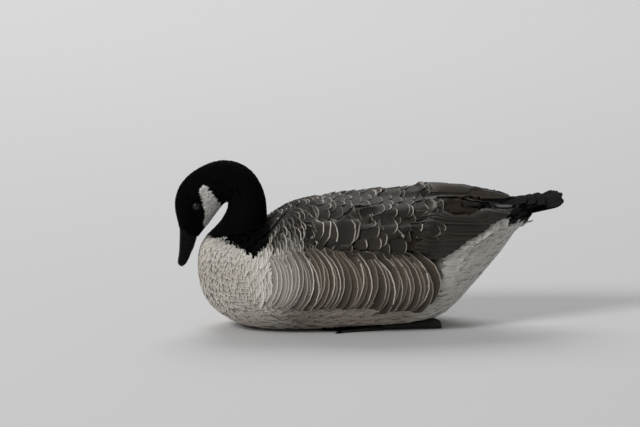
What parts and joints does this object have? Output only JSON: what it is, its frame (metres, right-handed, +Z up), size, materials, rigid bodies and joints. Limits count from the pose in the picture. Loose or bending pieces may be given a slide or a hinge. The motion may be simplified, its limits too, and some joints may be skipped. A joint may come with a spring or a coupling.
{
  "type": "canada goose",
  "caption": "Life-size Canada goose resting on its belly as if afloat, wings folded, neck curled over and bill pointing down",
  "frame": {"origin": "middle of the bird's bounding box, at the level that the belly and the feet rest on", "axes": "-X towards the head, +X towards the tail, +Z up, the bird's left side towards -Y"},
  "size_m": [0.5462, 0.2093, 0.235],
  "materials": {
    "plumage_dark": "matt velvety black feathers",
    "plumage_brown": "matt grey-brown feathers",
    "plumage_wing": "satin grey-brown feathers",
    "tail_black": "satin black feathers",
    "bill_horn": "satin black horn",
    "eye_brown": "wet dark brown",
    "leg_skin": "scaly black skin"
  },
  "bodies": {
    "root": {"trunk": "plumage_brown", "neck_lower": "plumage_dark", "neck_upper": "plumage_dark", "head": "plumage_dark", "bill_upper": "bill_horn", "bill_lower": "bill_horn", "eye_left": "eye_brown", "eye_right": "eye_brown", "wing_left": "plumage_wing", "wing_right": "plumage_wing", "tail": "tail_black", "leg_left": "leg_skin", "leg_right": "leg_skin", "foot_left": "leg_skin", "foot_right": "leg_skin"}
  },
  "joints": []
}
